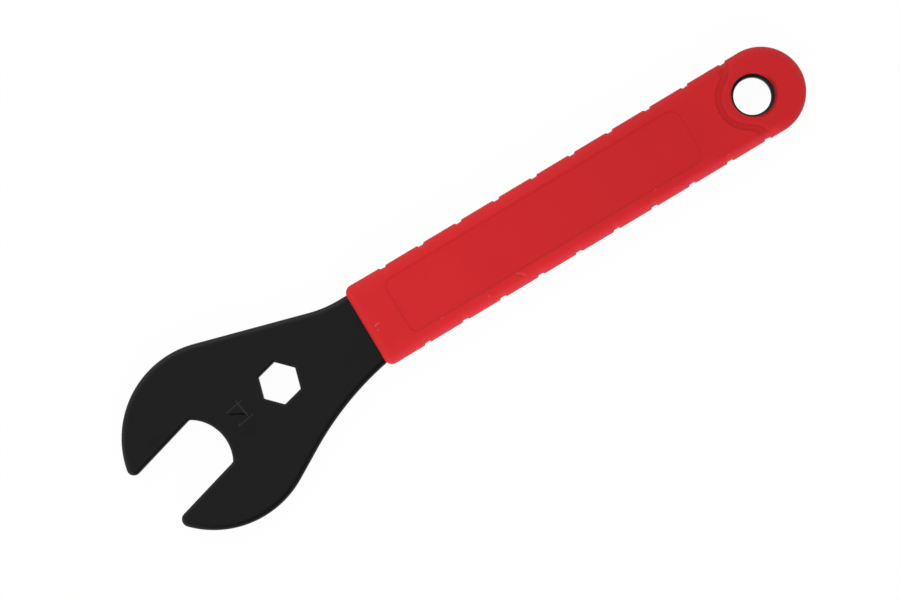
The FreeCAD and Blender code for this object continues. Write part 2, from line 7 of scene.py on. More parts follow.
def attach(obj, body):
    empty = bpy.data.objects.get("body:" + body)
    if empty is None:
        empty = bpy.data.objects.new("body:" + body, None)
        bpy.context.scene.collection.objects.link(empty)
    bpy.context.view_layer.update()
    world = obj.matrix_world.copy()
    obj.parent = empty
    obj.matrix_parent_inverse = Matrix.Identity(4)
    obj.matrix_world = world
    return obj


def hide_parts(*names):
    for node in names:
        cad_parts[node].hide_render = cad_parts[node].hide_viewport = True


# A cone wrench that lies flat: a black steel blade and a red grip moulded round its shank.
# Lengths below are millimetres in the part's own frame, and the meshes are made in metres.

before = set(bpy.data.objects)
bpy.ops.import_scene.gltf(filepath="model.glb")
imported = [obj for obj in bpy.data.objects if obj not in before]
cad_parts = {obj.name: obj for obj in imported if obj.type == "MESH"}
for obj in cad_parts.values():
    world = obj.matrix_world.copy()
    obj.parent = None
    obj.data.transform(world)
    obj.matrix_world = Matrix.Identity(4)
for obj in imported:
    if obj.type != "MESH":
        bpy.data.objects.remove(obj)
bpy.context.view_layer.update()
MM = 0.001
QUARTER = math.pi / 2

# The blade's jaw and its thickness.
BLADE_HALF = 1.2
JAW = Vector((-157.5, -6.0))
JAW_SLOPE = math.radians(15.75)
JAW_HALF_GAP = 7.13
THROAT_RADIUS = 10.33
THROAT_CORNER = 1.0
# Each side of the blade: the radius of its jaw's tip, the rise and the radius of its head, the
# slope in degrees at which the neck leaves the head, the neck's bend and the shank's side.
UPPER = {"tip": 1.7, "rise": 1.88, "head": 22.74, "slope": 15.9, "bend": 27.5, "shank": 9.05}
LOWER = {"tip": 1.8, "rise": 3.7, "head": 23.2, "slope": 30.14, "bend": 75.0, "shank": 8.2}
HEAD_BACK = 9.0
SHANK_END = 10.0
SHANK_CUT = 5.0
# The blade's rounded edges: how far each goes down, how much wider it is, and its steps.
OUTLINE_EDGE = 1.0
OUTLINE_SPREAD = 1.5
OUTLINE_STEPS = 10
JAW_EDGE = 0.6
HOLE_EDGE = 0.5
HOLE_SPREAD = 1.4
HOLE_STEPS = 5
# The blade's two holes.
HEXAGON = Vector((-129.65, -0.6))
HEXAGON_ACROSS = 8.86
HEXAGON_TURN = math.radians(14)
HEXAGON_CORNER = 0.4
STEEL_HOLE = 4.45
STEEL_HOLE_MIDDLE = Vector((0, 0.14))
# The stamped number: each stroke's ends, half its width, its depth and its painted highlight.
STROKES = (
    (Vector((-143.76, -0.16)), Vector((-139.57, 0.47)), 0.22, 0.10, 0.8),
    (Vector((-140.58, 1.00)), Vector((-139.94, -3.20)), 0.22, 0.10, 0.8),
    (Vector((-143.29, -1.05)), Vector((-140.19, -2.77)), 0.32, 0.32, 0.0),
    (Vector((-142.85, -4.27)), Vector((-138.93, -3.63)), 0.22, 0.12, 0.9),
    (Vector((-142.85, -4.27)), Vector((-142.55, -3.95)), 0.26, 0.14, 1.0),
)
PATCH_LOW = Vector((-144.6, -5.1))
PATCH_HIGH = Vector((-138.2, 1.9))
PATCH_STEP = 0.05

# The grip's outline and its rounded sides.
GRIP_HALF = 2.8
GRIP_SIDE = 10.5
MOUTH = -105.8
ROUND_END = Vector((2.315, 0.035))
ROUND_END_RADIUS = 10.635
SIDE_ROUNDING = 2.6
SIDE_STEPS = 12
MOUTH_ROUNDING = 2.0
MOUTH_MARKS = 16
# A span or a fade is a place where something starts to change and the run over which it does.
MOUTH_SPAN = (MOUTH + 2.5, 4.0)
# Soft swells of the sides: the place, the run, and what is added above and below.
SWELLS = ((-94.4, -1.2, 0.05, 0.05), (-2.7, 1.2, 0.07, 0.1), (-13.0, 1.2, 0.1, 0.0))
# The grip's hang hole, with the distances from it at which the face has a ring of points.
GRIP_HOLE = 5.15
GRIP_HOLE_MIDDLE = Vector((0.06, 0.17))
GRIP_HOLE_EDGE = 0.4
GRIP_HOLE_MARKS = 72
GRIP_HOLE_RINGS = (0.6, 0.75, 0.9, 1.05, 1.3)
# The notches. A side is marked at distances from each one and at shares of the way to the next.
NOTCHES = 10
NOTCH_LAST = -2.08
NOTCH_PITCH = 10.33
NOTCH_MIDDLES = [NOTCH_LAST - NOTCH_PITCH * number for number in range(NOTCHES)]
NOTCH_DEPTH = 0.35
NOTCH_RUNOUT = 0.1
NOTCH_FLOOR = 0.6
NOTCH_RAMP = 0.32
NOTCH_MARKS = (0, 0.3, 0.5, 0.57, 0.63, 0.72, 0.82, 0.92, 0.98, 1.04, 1.15, 1.3)
BETWEEN_MARKS = (0.3, 0.5, 0.7)
MOUTH_STEP = 0.6
MOUTH_STEPS = 7
# The curved band and the sunk panel.
BAND_MIDDLE = Vector((-1.0, 0.2))
BAND_INNER = 6.38
BAND_OUTER = 7.98
BAND_FLARE = 5.2
BAND_DEPTH = 0.24
BAND_WALL = 0.45
BAND_MARKS = 60
FLARE_STEP = math.radians(2.6)
FLARE_MARKS = 40
FLARE_MARGIN = 1.2
PANEL = {"left": -97.05, "right": -16.85, "half": 7.17, "near": 2.1, "far": 3.0}
PANEL_RISE = 0.06
PANEL_DEPTH = 0.14
PANEL_WALL = 0.45
PANEL_MARK = 1.5
# Distances from the foot of a wall at which the face has a row of points.
WALL_ROWS = (-0.75, -0.55, -0.4, -0.28, -0.17, -0.14, -0.1, -0.05, 0, 0.05, 0.1, 0.14, 0.17, 0.28,
             0.4, 0.55, 0.75)
FLAT_MARGIN = 0.05
TINY = 1e-3

# Painted shade at the foot of a wall and a painted highlight on the edge above it: distance and
# width of each.
FOOT = (0.2, 0.2)
BROW = (0.4, 0.22)
FOOT_SHADE = 0.65
BAND_SHADE = 0.35
BROW_HIGHLIGHT = 0.55
PANEL_SHADE = 0.7
# How much the painted shade by the walls darkens the red.
WALL_SHADE_STRENGTH = 0.16
# Painted shade on one side of the hang hole's rim: the way it faces, its turn, its run and its
# strength.
HOLE_SHADE_ANGLE = math.radians(-45)
HOLE_SHADE_TURN = (0.1, 0.7)
HOLE_SHADE_RUN = 0.95
HOLE_SHADE_STRENGTH = 0.6
# Painted light makes the border beside the panel lighter, most of all halfway along, and painted
# shade makes the side darker.
BORDER_PAINTED_LIGHT = 0.05
BORDER_SPAN = (0.1, 0.35)
BORDER_FADE = (1, -12)
BORDER_PEAK = (-62, 24)
SIDE_PAINTED_SHADE = 0.16
SIDE_SPAN = (9.2, 1.3)
# The painted sheen on the lower side, across the grip and along it.
SHEEN_SPAN = (-8.2, -1.6)
SHEEN_FADE = (7, -12)
# Pale specks and one short curved scratch on the grip: place and radius.
SPECKS = (
    (-103.48, -0.80, 0.34), (-103.07, -0.69, 0.34), (-102.63, -0.59, 0.34), (-103.48, -2.02, 0.34),
    (-95.2, -0.07, 0.26), (-89.45, -7.22, 0.26), (-89.05, -7.14, 0.26), (-77.2, -8.56, 0.45),
    (-68.96, -7.27, 0.30), (-68.5, -7.5, 0.30), (-68.0, -7.85, 0.30), (-67.6, -8.3, 0.34),
    (-67.4, -8.7, 0.36), (-30.97, -7.15, 0.28),
)
# Darker smudges on the blade: place and radius.
SMUDGES = ((-141.1, -6.5, 2.6), (-161.9, 3.2, 1.7))

WHITE = (1, 1, 1, 1)
PAPER = (0.9, 0.9, 0.9, 1)
PAPER_GLOW = 0.97
STEEL_DARK = (0.0028, 0.0028, 0.0028, 1)
STEEL_LIGHT = (0.0043, 0.0043, 0.0044, 1)
# A painted highlight in the stamped number.
STEEL_STAMP_HIGHLIGHT = (0.024, 0.026, 0.028, 1)
STEEL_SMUDGE = (0.0005, 0.0005, 0.0005, 1)
# The grip's red is a little darker towards its hang hole.
MOUTH_REDS = ((0.565, 0.0186, 0.0216, 1), (0.598, 0.0208, 0.0236, 1))
END_REDS = ((0.490, 0.0145, 0.0180, 1), (0.523, 0.0162, 0.0196, 1))
RED_FADE = Vector((-105, 0)) * MM
# A painted sheen on the lower side.
RED_SHEEN = (0.620, 0.0360, 0.0480, 1)
RED_SPECK = (0.59, 0.08, 0.09, 1)

# The white tent: where its top and its sides lie in degrees, how bright each part is, and
# between which cosines its brightness changes.
TENT_TOP_ANGLE = 95
TENT_SIDE_ANGLE = 5
TENT_BEHIND = 0.065
TENT_FRONT = 0.65
TENT_FRONT_STEP = (-0.50, -0.25)
TENT_TOP_LIFT = 0.60
TENT_TOP_STEP = (0.30, 0.95)
TENT_SIDES = 1.62
TENT_SIDES_STEP = (0.30, 0.65)
TENT_LOW = 1.43
TENT_LOW_STEP = (0.10, 0.35)
# The floor, the middle of the wrench that the lamps point at, and the camera, in metres.
FLOOR_REACH = 3.0
FLOOR_LEVEL = -(GRIP_HALF + 0.02) * MM
LAMP_AIM = Vector((-0.08, 0, 0))
CAMERA_PLACE = Vector((-95.12, -62, 750)) * MM
CAMERA_AIM = Vector((-85.43, -4.39, 0)) * MM
CAMERA_ROLL = math.radians(-30.945)
CAMERA_SENSOR = 36
CAMERA_LENS = 128.41


def smooth(share):
    """A soft step from 0 to 1."""
    share = min(1.0, max(0.0, share))
    return share * share * (3 - 2 * share)


def ramp(value, place, run):
    """A soft step from 0 at a place to 1 after a run, which may be negative."""
    return smooth((value - place) / run)


def soft_line(value, place, width):
    """A soft line at a place, 1 at its middle."""
    return math.exp(-((value - place) / width) ** 2)


def ray(angle, length=1.0):
    """A plan vector at an angle in radians to the handle."""
    return Vector((math.cos(angle), math.sin(angle))) * length


def put(name, data):
    """Put an object with its data into the scene."""
    thing = bpy.data.objects.new(name, data)
    bpy.context.scene.collection.objects.link(thing)
    return thing


class Course:
    """A closed course round an edge, with the metal or plastic on its left."""

    def __init__(self):
        self.stations = []

    def mark(self, spot, outward, edge):
        self.stations.append((spot, outward, edge))

    def line(self, start, end, edge, marks=(0.0,)):
        """A straight run. Its end is marked by the piece that follows."""
        way = (end - start).normalized()
        for share in marks:
            self.mark(start.lerp(end, share), Vector((way.y, -way.x)), edge)

    def arc(self, middle, start, end, edge, end_edge=None, clockwise=False, step=2.5, length=0.8):
        """A round run, marked every few degrees or every length, whichever is closer."""
        spoke, other = start - middle, end - middle
        first = math.atan2(spoke.y, spoke.x)
        turn = math.atan2(other.y, other.x) - first
        if clockwise:
            turn = turn - math.tau if turn >= 0 else turn
        else:
            turn = turn + math.tau if turn <= 0 else turn
        radius = spoke.length
        count = math.ceil(abs(turn) / math.radians(step))
        count = max(3, count, math.ceil(abs(turn) * radius / length))
        last = edge if end_edge is None else end_edge
        for number in range(count):
            share = number / count
            outward = ray(first + turn * share)
            spot = middle + outward * radius
            amount = edge + (last - edge) * smooth(share)
            self.mark(spot, -outward if clockwise else outward, amount)


def ground(spots, loops):
    """Triangles over plan points, inside the first closed row and outside the other ones."""
    rows, start = [], 0
    for loop in loops:
        rows.append(list(range(start, start + len(loop))))
        start += len(loop)
    edges = [(row[number - 1], row[number]) for row in rows for number in range(len(row))]
    found = geometry.delaunay_2d_cdt(spots, edges, [], 1, 1e-6)
    origin = [known[0] for known in found[3]]
    holes = [set(row) for row in rows[1:]]
    for face in found[2]:
        trio = [origin[corner] for corner in face]
        if not any(hole.issuperset(trio) for hole in holes):
            yield trio


class Skin:
    """Corners and faces of one piece."""

    def __init__(self):
        self.corners = []
        self.faces = []

    def ring(self, spots):
        """Add a row of corners and return their numbers."""
        start = len(self.corners)
        self.corners.extend(spots)
        return list(range(start, len(self.corners)))

    def strip(self, low, high):
        """Join two closed rows of corners, the low one first, seen from outside."""
        count = len(low)
        for number in range(count):
            after = (number + 1) % count
            self.faces.append((low[number], low[after], high[after], high[number]))

    def fill(self, loops, under=False):
        """Fill the flat ground between closed rows of corners. The first one is outermost."""
        plan = [corner for loop in loops for corner in loop]
        spots = [Vector(self.corners[corner][:2]) for corner in plan]
        for trio in ground(spots, loops):
            trio = tuple(plan[corner] for corner in trio)
            self.faces.append(trio[::-1] if under else trio)

    def build(self, name, finish, **shades):
        """Make the piece from the corners that its faces use, with shades worked out from each."""
        used = sorted({corner for face in self.faces for corner in face})
        order = {corner: number for number, corner in enumerate(used)}
        corners = [self.corners[corner] for corner in used]
        faces = [tuple(order[corner] for corner in face) for face in self.faces]
        mesh = bpy.data.meshes.new(name)
        mesh.from_pydata([[value * MM for value in corner] for corner in corners], [], faces)
        mesh.validate()
        mesh.shade_smooth()
        mesh.materials.append(finish)
        for shade, worked_out in shades.items():
            values = mesh.attributes.new(shade, "FLOAT", "POINT").data
            for number, corner in enumerate(corners):
                values[number].value = worked_out(Vector(corner[:2]))
        return put(name, mesh)


def rounded_rim(skin, stations, half, steps, spread):
    """A rounded edge from the back to the front. Returns its flat corners, back and front."""
    turns = [QUARTER * number / steps for number in range(steps + 1)]
    rows = []
    for side, order in ((-1, turns[::-1]), (1, turns)):
        for turn in order:
            rows.append([(*(spot - outward * (spread * edge * (1 - math.cos(turn)))),
                          side * (half - edge * (1 - math.sin(turn))))
                         for spot, outward, edge in stations])
    inner = [spot - outward * (spread * edge + FLAT_MARGIN) for spot, outward, edge in stations]
    rows.insert(0, [(*spot, -half) for spot in inner])
    rows.append([(*spot, half) for spot in inner])
    rings = [skin.ring(row) for row in rows]
    for low, high in zip(rings, rings[1:]):
        skin.strip(low, high)
    return rings[0], rings[-1]


# Into the jaw, and up across it.
INWARD = ray(JAW_SLOPE)
UPWARD = ray(JAW_SLOPE + QUARTER)


def head_middle(side):
    """The middle of the round head on one side of the jaw."""
    return JAW + Vector((HEAD_BACK, side["rise"]))


def jaw_tip(side, sign):
    """Where a jaw's end leaves its flat, its middle, and where it meets the head."""
    level = JAW + UPWARD * (sign * (JAW_HALF_GAP + side["tip"]))
    gap = level - head_middle(side)
    reach = gap.dot(INWARD)
    run = -reach - math.sqrt(reach ** 2 - gap.length_squared + (side["head"] - side["tip"]) ** 2)
    middle = level + INWARD * run
    spoke = (middle - head_middle(side)).normalized()
    return middle - UPWARD * (sign * side["tip"]), middle, head_middle(side) + spoke * side["head"]


def throat_corner(sign):
    """Where a corner of the throat leaves its flat, its middle, and where it meets the back."""
    across = JAW_HALF_GAP - THROAT_CORNER
    run = math.sqrt((THROAT_RADIUS - THROAT_CORNER) ** 2 - across ** 2)
    middle = JAW + UPWARD * (sign * across) + INWARD * run
    spoke = (middle - JAW).normalized()
    return middle + UPWARD * (sign * THROAT_CORNER), middle, JAW + spoke * THROAT_RADIUS


def neck_bend(side, sign):
    """Where a side of the neck leaves the head, where it bends, the bend's middle and its foot."""
    outward = ray(sign * (QUARTER - math.radians(side["slope"])))
    level = sign * (side["shank"] + side["bend"])
    reach = outward.dot(head_middle(side)) + side["head"] + side["bend"]
    middle = Vector(((reach - outward.y * level) / outward.x, level))
    foot = Vector((middle.x, sign * side["shank"]))
    return head_middle(side) + outward * side["head"], middle - outward * side["bend"], middle, foot


def blade_course():
    """Round the outline of the blade, from the shank over the upper jaw to the lower one."""
    upper_lip, upper_tip, upper_crown = jaw_tip(UPPER, 1)
    lower_lip, lower_tip, lower_crown = jaw_tip(LOWER, -1)
    upper_wall, upper_corner, upper_back = throat_corner(1)
    lower_wall, lower_corner, lower_back = throat_corner(-1)
    upper_nape, upper_waist, upper_bend, upper_foot = neck_bend(UPPER, 1)
    lower_nape, lower_waist, lower_bend, lower_foot = neck_bend(LOWER, -1)
    cut = SHANK_END - SHANK_CUT
    shank = [Vector((cut, -LOWER["shank"])), Vector((SHANK_END, SHANK_CUT - LOWER["shank"])),
             Vector((SHANK_END, UPPER["shank"] - SHANK_CUT)), Vector((cut, UPPER["shank"]))]
    rim, jaw_rim = OUTLINE_EDGE, JAW_EDGE
    course = Course()
    course.line(shank[-1], upper_foot, rim)
    course.arc(upper_bend, upper_foot, upper_waist, rim, clockwise=True)
    course.line(upper_waist, upper_nape, rim)
    course.arc(head_middle(UPPER), upper_nape, upper_crown, rim)
    course.arc(upper_tip, upper_crown, upper_lip, rim, jaw_rim, step=4)
    course.line(upper_lip, upper_wall, jaw_rim)
    course.arc(upper_corner, upper_wall, upper_back, jaw_rim, clockwise=True, step=6)
    course.arc(JAW, upper_back, lower_back, jaw_rim, clockwise=True)
    course.arc(lower_corner, lower_back, lower_wall, jaw_rim, clockwise=True, step=6)
    course.line(lower_wall, lower_lip, jaw_rim)
    course.arc(lower_tip, lower_lip, lower_crown, jaw_rim, rim, step=4)
    course.arc(head_middle(LOWER), lower_crown, lower_nape, rim)
    course.line(lower_nape, lower_waist, rim)
    course.arc(lower_bend, lower_waist, lower_foot, rim, clockwise=True)
    for start, end in zip([lower_foot, *shank], shank):
        course.line(start, end, rim)
    return course.stations


def hexagon_course():
    """Round the hexagon hole, clockwise, with its small round corners."""
    course = Course()
    sixth = math.pi / 3
    inner = (HEXAGON_ACROSS / 2 - HEXAGON_CORNER) / math.cos(sixth / 2)
    for number in range(6):
        corner = HEXAGON_TURN - number * sixth
        middle, after = HEXAGON + ray(corner, inner), HEXAGON + ray(corner - sixth, inner)
        reach, leave = (ray(corner + turn, HEXAGON_CORNER) for turn in (sixth / 2, -sixth / 2))
        course.arc(middle, middle + reach, middle + leave, HOLE_EDGE, clockwise=True, step=10)
        course.line(middle + leave, after + leave, HOLE_EDGE)
    return course.stations


def hang_hole_course():
    """Round the steel's hang hole, clockwise."""
    start = STEEL_HOLE_MIDDLE + Vector((STEEL_HOLE, 0))
    course = Course()
    course.arc(STEEL_HOLE_MIDDLE, start, start, HOLE_EDGE, clockwise=True, step=4)
    return course.stations


def stroke(spot):
    """How deep the stamp goes at a plan point, and how much painted highlight lies in it."""
    deepest, most = 0.0, 0.0
    for start, end, half, depth, dust in STROKES:
        way = end - start
        share = min(1.0, max(0.0, (spot - start).dot(way) / way.length_squared))
        gap = (spot - start - way * share).length
        if gap < half:
            within = 0.5 + 0.5 * math.cos(math.pi * gap / half)
            deepest = max(deepest, depth * within)
            most = max(most, dust * within)
    return deepest, most


# The painted highlight in the stamp at a plan point.
def stamp_dust(spot):
    return stroke(spot)[1]


def stamped_patch(skin):
    """A fine patch of the front face with the number pressed into it. Returns its border."""
    across, up = (round(length / PATCH_STEP) for length in PATCH_HIGH - PATCH_LOW)
    rows = []
    for row in range(up + 1):
        spots = [Vector((PATCH_LOW.x + column * PATCH_STEP, PATCH_LOW.y + row * PATCH_STEP))
                 for column in range(across + 1)]
        rows.append(skin.ring([(*spot, BLADE_HALF - stroke(spot)[0]) for spot in spots]))
    for low, high in zip(rows, rows[1:]):
        for column in range(across):
            skin.faces.append((low[column], low[column + 1], high[column + 1], high[column]))
    right = [row[-1] for row in rows[1:-1]]
    left = [row[0] for row in rows[1:-1]]
    return rows[0] + right + rows[-1][::-1] + left[::-1]


def make_blade(finish):
    """The blade: its outline, the hexagon hole, the hang hole and the stamped number."""
    skin = Skin()
    rims = [rounded_rim(skin, blade_course(), BLADE_HALF, OUTLINE_STEPS, OUTLINE_SPREAD),
            rounded_rim(skin, hexagon_course(), BLADE_HALF, HOLE_STEPS, HOLE_SPREAD),
            rounded_rim(skin, hang_hole_course(), BLADE_HALF, HOLE_STEPS, HOLE_SPREAD)]
    back, front = map(list, zip(*rims))
    front.append(stamped_patch(skin))
    skin.fill(back, under=True)
    skin.fill(front)
    # The corners carry the stamp's painted highlight.
    return skin.build("steel_blade", finish, dust=stamp_dust)


def side_marks():
    """Places along a side of the grip, from the hang hole to the mouth."""
    places = {ROUND_END.x}
    for middle in NOTCH_MIDDLES:
        places.update(middle + sign * gap for gap in NOTCH_MARKS for sign in (-1, 1))
        places.update(middle - NOTCH_PITCH * share for share in BETWEEN_MARKS)
    corner = MOUTH + MOUTH_ROUNDING
    places.update(corner + MOUTH_STEP * (number + 1) for number in range(MOUTH_STEPS))
    return sorted((place for place in places if corner < place <= ROUND_END.x), reverse=True)


def side_rounding(place):
    """The rounding of the grip's sides, which is a little smaller at its mouth."""
    return MOUTH_ROUNDING + (SIDE_ROUNDING - MOUTH_ROUNDING) * ramp(place, *MOUTH_SPAN)


def side_level(place, sign):
    """How far out a side of the grip lies."""
    level = GRIP_SIDE
    for start, run, above, below in SWELLS:
        level += (above if sign > 0 else below) * ramp(place, start, run)
    return level


def grip_course():
    """Round the outline of the grip, before the notches."""
    course = Course()
    marks = side_marks()

    def mark_side(place, sign):
        spot = Vector((place, sign * side_level(place, sign)))
        course.mark(spot, Vector((0, sign)), side_rounding(place))

    for place in marks:
        mark_side(place, 1)
    corner = Vector((MOUTH + MOUTH_ROUNDING, side_level(MOUTH, 1) - MOUTH_ROUNDING))
    other = Vector((corner.x, -corner.y))
    left, up = Vector((-MOUTH_ROUNDING, 0)), Vector((0, MOUTH_ROUNDING))
    course.arc(corner, corner + up, corner + left, MOUTH_ROUNDING, step=9)
    course.line(corner + left, other + left, MOUTH_ROUNDING,
                marks=[number / MOUTH_MARKS for number in range(MOUTH_MARKS)])
    course.arc(other, other + left, other - up, MOUTH_ROUNDING, step=9)
    for place in marks[:0:-1]:
        mark_side(place, -1)
    rise = Vector((0, ROUND_END_RADIUS))
    course.arc(ROUND_END, ROUND_END - rise, ROUND_END + rise, SIDE_ROUNDING, step=3)
    return course.stations


class Band:
    """The curved band round the hang hole that leads out to the last notch on each side."""

    def __init__(self):
        half_mouth = NOTCH_FLOOR + NOTCH_RAMP
        self.outer = self.lead_out(BAND_OUTER, NOTCH_LAST - half_mouth)
        self.inner = self.lead_out(BAND_INNER, NOTCH_LAST + half_mouth)

    def lead_out(self, radius, place):
        """A wall's radius, the angle where its flare starts, and the flare's middle."""
        far = Vector((place - BAND_MIDDLE.x, GRIP_SIDE))
        reach = radius + BAND_FLARE
        opening = (reach ** 2 + far.length_squared - BAND_FLARE ** 2) / (2 * reach * far.length)
        turn = math.atan2(far.y, far.x) + math.acos(opening)
        return radius, turn, ray(turn, reach)

    def beyond(self, spot, wall):
        """How far a plan point lies beyond a wall, seen from the hang hole."""
        radius, turn, middle = wall
        above = spot - BAND_MIDDLE
        above.y = abs(above.y)
        if math.atan2(above.y, above.x) >= turn:
            return above.length - radius
        return BAND_FLARE - (above - middle).length

    def within(self, spot):
        """How much of the band's depth there is at a plan point."""
        outer, inner = self.beyond(spot, self.outer), self.beyond(spot, self.inner)
        return smooth(0.5 - outer / BAND_WALL) * smooth(0.5 + inner / BAND_WALL)

    def wall_shading(self, spot):
        """Painted shade at the walls' feet and between them, less a painted highlight above them.
        """
        outer, inner = self.beyond(spot, self.outer), self.beyond(spot, self.inner)
        feet = soft_line(-outer, *FOOT) + soft_line(inner, *FOOT)
        brows = soft_line(outer, *BROW) + soft_line(-inner, *BROW)
        return FOOT_SHADE * feet + BAND_SHADE * self.within(spot) - BROW_HIGHLIGHT * brows

    def spots(self):
        """Loose plan points along both walls, above the band's middle and mirrored below it."""
        for wall, rows in ((self.outer, WALL_ROWS[:-1]), (self.inner, WALL_ROWS[1:])):
            radius, turn, middle = wall
            for shift in rows:
                run = [ray(turn + (math.pi - turn) * number / BAND_MARKS, radius + shift)
                       for number in range(BAND_MARKS + 1)]
                flare = [middle + ray(turn + math.pi + FLARE_STEP * number, BAND_FLARE - shift)
                         for number in range(1, FLARE_MARKS)]
                run += [spot for spot in flare if spot.y < GRIP_SIDE - FLARE_MARGIN]
                for spot in run:
                    yield BAND_MIDDLE + spot
                    if spot.y > TINY:
                        yield BAND_MIDDLE + Vector((spot.x, -spot.y))


BAND = Band()


def panel_inside(spot):
    """How far a plan point lies inside the sunk panel."""
    middle = (PANEL["left"] + PANEL["right"]) / 2
    radius = PANEL["near"] if spot.x < middle else PANEL["far"]
    gap_x = max(PANEL["left"] - spot.x, spot.x - PANEL["right"]) + radius
    gap_y = abs(spot.y - PANEL_RISE) - PANEL["half"] + radius
    outer = math.hypot(max(gap_x, 0), max(gap_y, 0))
    return radius - outer - min(max(gap_x, gap_y), 0)


def panel_spots():
    """Loose plan points along the wall of the sunk panel."""
    half, left, right = PANEL["half"], PANEL["left"], PANEL["right"]
    near, far = PANEL["near"], PANEL["far"]
    corners = []
    for place, rise, radius in ((right, half, far), (left, half, near), (left, -half, near),
                                (right, -half, far)):
        middle = Vector((place - math.copysign(radius, place - (left + right) / 2),
                         PANEL_RISE + rise - math.copysign(radius, rise)))
        corners.append((middle, radius))
    course = Course()
    for number, (middle, radius) in enumerate(corners):
        start, end = number * QUARTER, number * QUARTER + QUARTER
        leave = middle + ray(end, radius)
        course.arc(middle, middle + ray(start, radius), leave, 0, step=7.5)
        far_middle, far_radius = corners[(number + 1) % 4]
        reach = far_middle + ray(end, far_radius)
        count = math.ceil((reach - leave).length / PANEL_MARK)
        course.line(leave, reach, 0, marks=[mark / count for mark in range(count)])
    for shift in WALL_ROWS:
        for spot, outward, _ in course.stations:
            yield spot + outward * shift


def hole_ring(distance):
    """Plan points round the grip's hang hole, at a distance from it."""
    return [GRIP_HOLE_MIDDLE + ray(math.tau * number / GRIP_HOLE_MARKS, GRIP_HOLE + distance)
            for number in range(GRIP_HOLE_MARKS)]


def notch_cut(place, rounding, inset):
    """How deep a notch goes into the side, at a place along it and an inset from it."""
    level = (rounding - inset) / rounding
    rise = math.sqrt(max(0.0, 1 - level * level))
    flatter = GRIP_HALF + NOTCH_RUNOUT - SIDE_ROUNDING
    depth = (NOTCH_DEPTH + flatter) * level + (GRIP_HALF - SIDE_ROUNDING) * rise - flatter
    gap = min(abs(place - middle) for middle in NOTCH_MIDDLES)
    slope = NOTCH_DEPTH / NOTCH_RAMP
    return max(0.0, min(depth, depth - slope * (gap - NOTCH_FLOOR)))


def lowered(spot, height):
    """Lower a point of the grip's face by the panel, the band and the hole's rounded rim."""
    sunk = PANEL_DEPTH * smooth(0.5 + panel_inside(spot) / PANEL_WALL)
    sunk += BAND_DEPTH * BAND.within(spot)
    reach = GRIP_HOLE + GRIP_HOLE_EDGE - (spot - GRIP_HOLE_MIDDLE).length
    if reach > 0:
        sunk += GRIP_HOLE_EDGE - math.sqrt(max(0.0, GRIP_HOLE_EDGE ** 2 - reach ** 2))
    return min(height, GRIP_HALF - sunk)


def rim_point(station, turn):
    """A point of the rounded side: its place, its height, and its place before the notches."""
    spot, outward, rounding = station
    inset = rounding * (1 - math.cos(turn))
    height = GRIP_HALF - rounding * (1 - math.sin(turn))
    cut = notch_cut(spot.x, rounding, inset) if abs(outward.x) < TINY else 0.0
    place = spot - outward * (inset + cut * math.cos(turn))
    return place, lowered(place, height - cut * math.sin(turn)), spot - outward * inset


def face_point(spot):
    """A point of the grip's face, in the same form."""
    return spot, lowered(spot, GRIP_HALF), spot


def from_middle(spot):
    """How far a plan point lies from the grip's middle line, also round its end."""
    return (spot - ROUND_END).length if spot.x > ROUND_END.x else abs(spot.y)


def hole_shade(spot):
    """Painted shade on the rim along one side of the hang hole."""
    spoke = spot - GRIP_HOLE_MIDDLE
    facing = spoke.normalized().dot(ray(HOLE_SHADE_ANGLE))
    return ramp(facing, *HOLE_SHADE_TURN) * (1 - ramp(spoke.length, GRIP_HOLE, HOLE_SHADE_RUN))


def grip_tone(spot):
    """Painted light and shade on the grip at a plan point: border, side, walls and hole."""
    # Painted light beside the panel and painted shade at the side.
    beside = ramp(abs(spot.y - PANEL_RISE) - PANEL["half"], *BORDER_SPAN)
    lift = BORDER_PAINTED_LIGHT * (ramp(spot.x, *BORDER_FADE) + soft_line(spot.x, *BORDER_PEAK))
    tone = (1 + lift * beside) * (1 - SIDE_PAINTED_SHADE * ramp(from_middle(spot), *SIDE_SPAN))
    # Painted shade by the band's and the panel's walls, less the band's painted highlight.
    wall_shading = min(1.0, BAND.wall_shading(spot) + PANEL_SHADE * soft_line(panel_inside(spot), *FOOT))
    # Painted shade on one side of the hang hole's rim.
    return tone * (1 - WALL_SHADE_STRENGTH * wall_shading) * (1 - HOLE_SHADE_STRENGTH * hole_shade(spot))


def grip_rub(spot):
    """How much painted sheen the lower side has."""
    return ramp(spot.y, *SHEEN_SPAN) * ramp(spot.x, *SHEEN_FADE)


